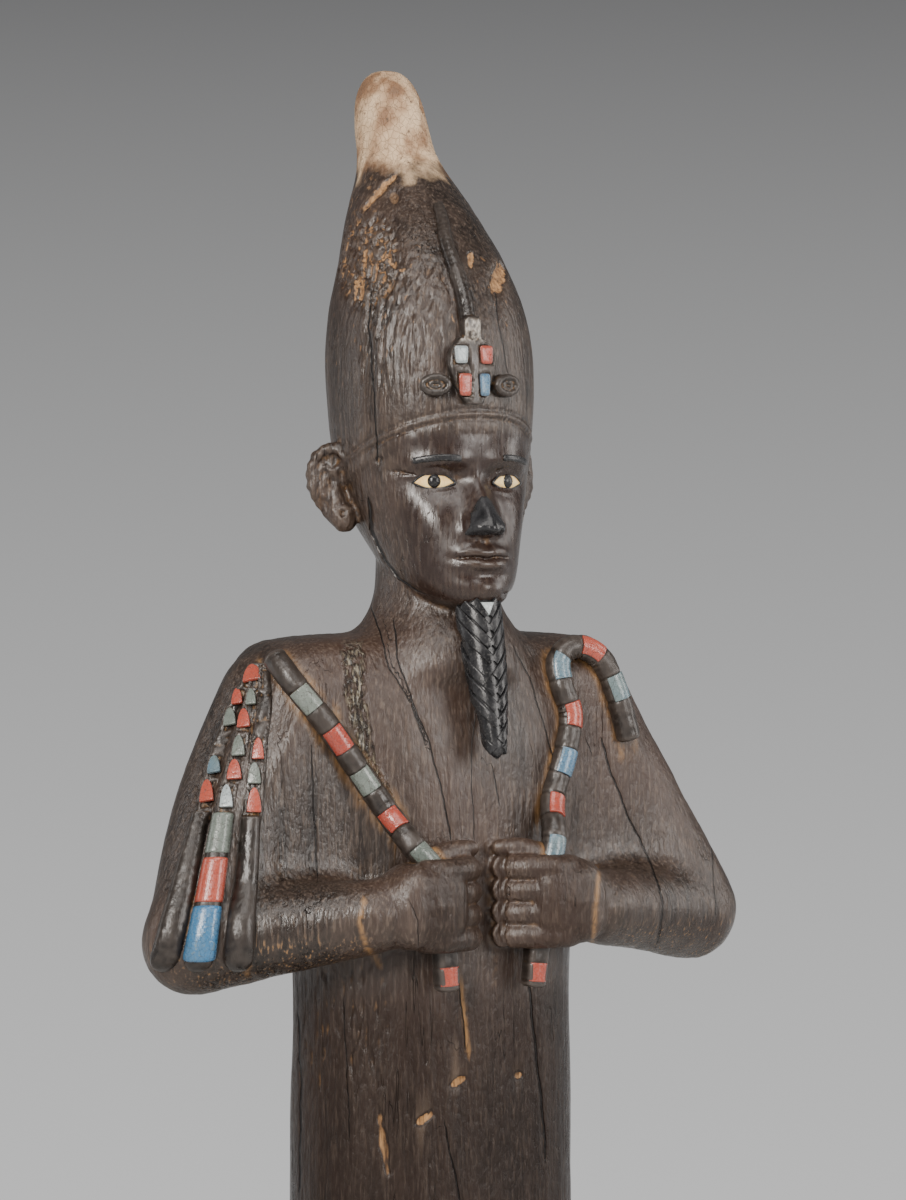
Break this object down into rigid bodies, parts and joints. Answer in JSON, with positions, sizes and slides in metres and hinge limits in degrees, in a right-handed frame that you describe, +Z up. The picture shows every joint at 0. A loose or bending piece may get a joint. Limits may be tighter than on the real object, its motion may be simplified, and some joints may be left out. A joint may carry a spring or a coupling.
{
  "type": "osiris statue",
  "caption": "Standing wrapped figure with tall crown, braided beard, crook and flail, carved in dark wood with glass inlays, on a low plinth",
  "frame": {"origin": "on the plinth's underside, straight below the figure's upright axis", "axes": "+Z up, the figure faces -Y, +X is the figure's left"},
  "size_m": [0.4638, 0.42, 1.582],
  "materials": {
    "dark_wood": "old resin-darkened wood, worn satin",
    "rod_wood": "dark polished wood, satin",
    "red_glass": "opaque glass, glossy",
    "green_glass": "opaque glass, glossy",
    "blue_glass": "opaque glass, glossy",
    "pale_glass": "opaque glass, worn",
    "black_glass": "opaque glass, glossy",
    "eye_white": "polished pale stone"
  },
  "bodies": {
    "root": {"figure": "dark_wood", "plinth": "dark_wood", "beard": "black_glass", "beard_inlay": "pale_glass", "cobra": "rod_wood", "crook": "rod_wood", "flail_handle": "rod_wood", "flail_lashes": "rod_wood", "nose_repair": "black_glass", "left_brow_inlay": "black_glass", "right_brow_inlay": "black_glass", "left_eye_white": "eye_white", "right_eye_white": "eye_white", "left_pupil": "black_glass", "right_pupil": "black_glass", "flail_handle_glass_1": "green_glass", "flail_handle_glass_2": "red_glass", "flail_handle_glass_3": "green_glass", "flail_handle_glass_4": "red_glass", "flail_handle_glass_5": "green_glass", "flail_handle_foot_glass": "red_glass", "crook_glass_1": "blue_glass", "crook_glass_2": "red_glass", "crook_glass_3": "blue_glass", "crook_glass_4": "red_glass", "crook_glass_5": "blue_glass", "crook_glass_6": "red_glass", "crook_glass_7": "blue_glass", "crook_foot_glass": "red_glass", "lash_glass_1": "red_glass", "lash_glass_2": "red_glass", "lash_glass_3": "green_glass", "lash_glass_4": "green_glass", "lash_glass_5": "red_glass", "lash_glass_6": "green_glass", "lash_glass_7": "red_glass", "lash_glass_8": "blue_glass", "lash_glass_9": "red_glass", "lash_glass_10": "green_glass", "lash_glass_11": "red_glass", "lash_glass_12": "pale_glass", "lash_glass_13": "red_glass", "pendant_glass_1": "green_glass", "pendant_glass_2": "red_glass", "pendant_glass_3": "blue_glass", "cobra_glass_upper_right": "pale_glass", "cobra_glass_upper_left": "red_glass", "cobra_glass_lower_right": "red_glass", "cobra_glass_lower_left": "blue_glass"}
  },
  "joints": []
}
